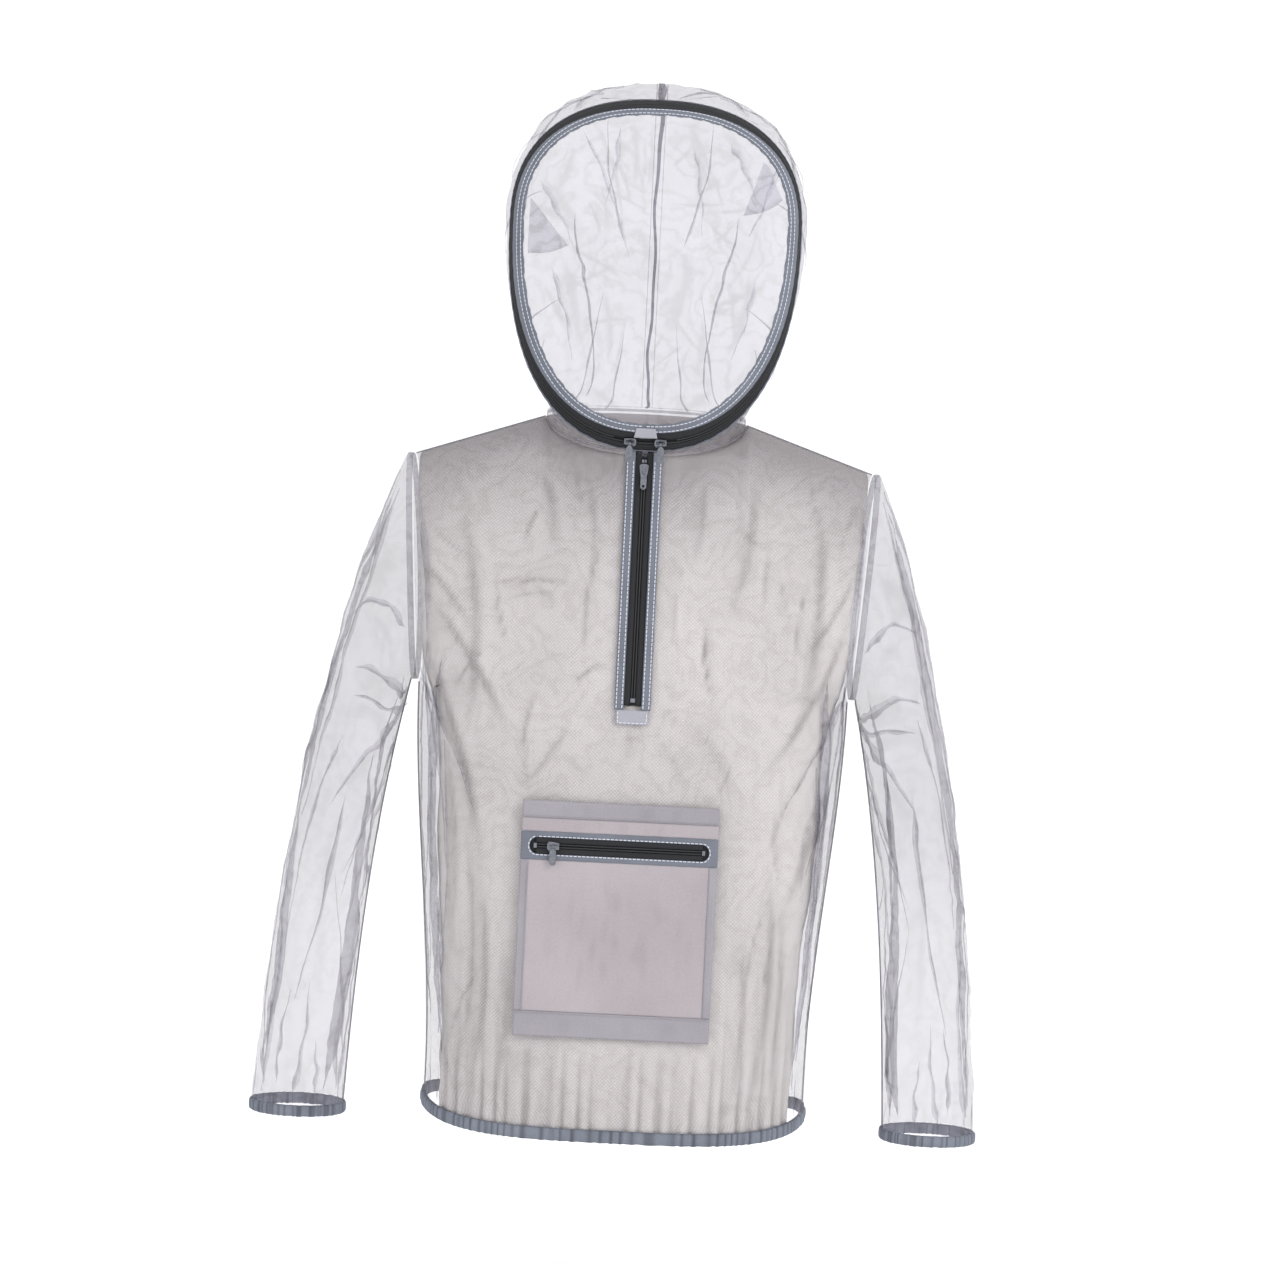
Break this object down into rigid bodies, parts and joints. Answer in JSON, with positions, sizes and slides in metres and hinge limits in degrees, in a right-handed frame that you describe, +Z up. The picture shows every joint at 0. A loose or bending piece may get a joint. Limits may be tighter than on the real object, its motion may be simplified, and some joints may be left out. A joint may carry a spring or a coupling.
{
  "type": "beekeeping jacket",
  "caption": "Hooded pull-on beekeeping jacket of fine netting with a lined body, front zip, zipped pocket, elastic hem and cuffs, and a zip-in face veil.",
  "frame": {"origin": "the neck: on the jacket's centre plane, level with the foot of the face ring", "axes": "+Z up, -Y the front of the jacket, +X the wearer's left"},
  "size_m": [0.7538, 0.3049, 1.0792],
  "materials": {
    "netting": "matte",
    "lining": "matte",
    "seam_tape": "matte",
    "elastic_casing": "matte",
    "binding": "matte",
    "pocket_cloth": "matte",
    "tab_cloth": "matte",
    "zip_tape": "matte",
    "zip_coil": "satin",
    "elastic": "matte",
    "zip_metal": "satin"
  },
  "bodies": {
    "body": {"front_panel": "netting", "back_panel": "netting", "hood_panel_left": "netting", "hood_panel_right": "netting", "lining_front": "lining", "lining_back": "lining", "neck_seam": "seam_tape", "hood_centre_seam": "seam_tape", "side_seam_left": "seam_tape", "side_seam_right": "seam_tape", "shoulder_seam_left": "seam_tape", "shoulder_seam_right": "seam_tape", "armhole_seam_left": "seam_tape", "armhole_seam_right": "seam_tape", "hem_casing": "elastic_casing", "hem_elastic": "elastic", "pocket_zip_frame": "binding", "front_zip_binding_left": "binding", "front_zip_binding_right": "binding", "pocket_top_band": "pocket_cloth", "pocket_upper_panel": "pocket_cloth", "pocket_lower_panel": "pocket_cloth", "pocket_bottom_band": "pocket_cloth", "front_zip_tab": "tab_cloth", "face_zip_outer_tape": "zip_tape", "pocket_zip_tape_upper": "zip_tape", "pocket_zip_tape_lower": "zip_tape", "front_zip_tape_left": "zip_tape", "front_zip_tape_right": "zip_tape", "face_zip_outer_coil": "zip_coil", "pocket_zip_coil_upper": "zip_coil", "pocket_zip_coil_lower": "zip_coil", "front_zip_coil_left": "zip_coil", "front_zip_coil_right": "zip_coil", "front_zip_bottom_stop": "zip_metal", "pocket_zip_stop_left": "zip_metal", "pocket_zip_stop_right": "zip_metal", "front_zip_top_stop_left": "zip_metal", "front_zip_top_stop_right": "zip_metal"},
    "veil": {"veil": "netting", "veil_binding": "binding", "face_zip_inner_tape": "zip_tape", "face_zip_inner_coil": "zip_coil", "face_zip_tab": "tab_cloth"},
    "sleeve_left": {"sleeve_left": "netting", "sleeve_seam_left": "seam_tape", "cuff_casing_left": "elastic_casing", "cuff_elastic_left": "elastic"},
    "face_slider_left": {"face_slider_left": "zip_metal"},
    "face_pull_left": {"face_pull_left": "zip_metal"},
    "sleeve_right": {"sleeve_right": "netting", "sleeve_seam_right": "seam_tape", "cuff_casing_right": "elastic_casing", "cuff_elastic_right": "elastic"},
    "face_slider_right": {"face_slider_right": "zip_metal"},
    "face_pull_right": {"face_pull_right": "zip_metal"},
    "front_slider": {"front_slider": "zip_metal"},
    "front_pull": {"front_pull": "zip_metal"},
    "pocket_slider": {"pocket_slider": "zip_metal"},
    "pocket_pull": {"pocket_pull": "zip_metal"}
  },
  "joints": [
    {"name": "front_zip_open", "type": "slide", "parent": "body", "child": "front_slider", "axis": [0, -0.1004, -0.9949], "range_m": [0, 0.205]},
    {"name": "front_pull_flip", "type": "hinge", "parent": "front_slider", "child": "front_pull", "pos_m": [0, -0.09953, -0.01961], "axis": [-1, 0, 0], "range_deg": [0, 160]},
    {"name": "pocket_zip_open", "type": "slide", "parent": "body", "child": "pocket_slider", "axis": [1, 0, 0], "range_m": [0, 0.138]},
    {"name": "pocket_pull_flip", "type": "hinge", "parent": "pocket_slider", "child": "pocket_pull", "pos_m": [-0.072, -0.12765, -0.398], "axis": [-1, 0, 0], "range_deg": [0, 160]},
    {"name": "face_zip_open_left", "type": "hinge", "parent": "body", "child": "face_slider_left", "pos_m": [0.00902, -0.09148, 0.11897], "axis": [-0.001, -0.9945, 0.105], "range_deg": [0, 37]},
    {"name": "face_pull_flip_left", "type": "hinge", "parent": "face_slider_left", "child": "face_pull_left", "pos_m": [0.01531, -0.10762, 0.00572], "axis": [-0.9973, -0.0078, -0.0728], "range_deg": [0, 120]},
    {"name": "arm_lift_left", "type": "hinge", "parent": "body", "child": "sleeve_left", "pos_m": [0.235, 0, -0.013], "axis": [0, -1, 0], "range_deg": [0, 60]},
    {"name": "face_zip_open_right", "type": "hinge", "parent": "body", "child": "face_slider_right", "pos_m": [-0.00902, -0.09148, 0.11897], "axis": [-0.001, 0.9945, -0.105], "range_deg": [0, 37]},
    {"name": "face_pull_flip_right", "type": "hinge", "parent": "face_slider_right", "child": "face_pull_right", "pos_m": [-0.01531, -0.10762, 0.00572], "axis": [-0.9973, 0.0078, 0.0728], "range_deg": [0, 120]},
    {"name": "arm_lift_right", "type": "hinge", "parent": "body", "child": "sleeve_right", "pos_m": [-0.235, 0, -0.013], "axis": [0, 1, 0], "range_deg": [0, 60]},
    {"name": "veil_fold_down", "type": "hinge", "parent": "body", "child": "veil", "pos_m": [0, -0.112, 0.0165], "axis": [1, 0, 0], "range_deg": [0, 85]}
  ]
}
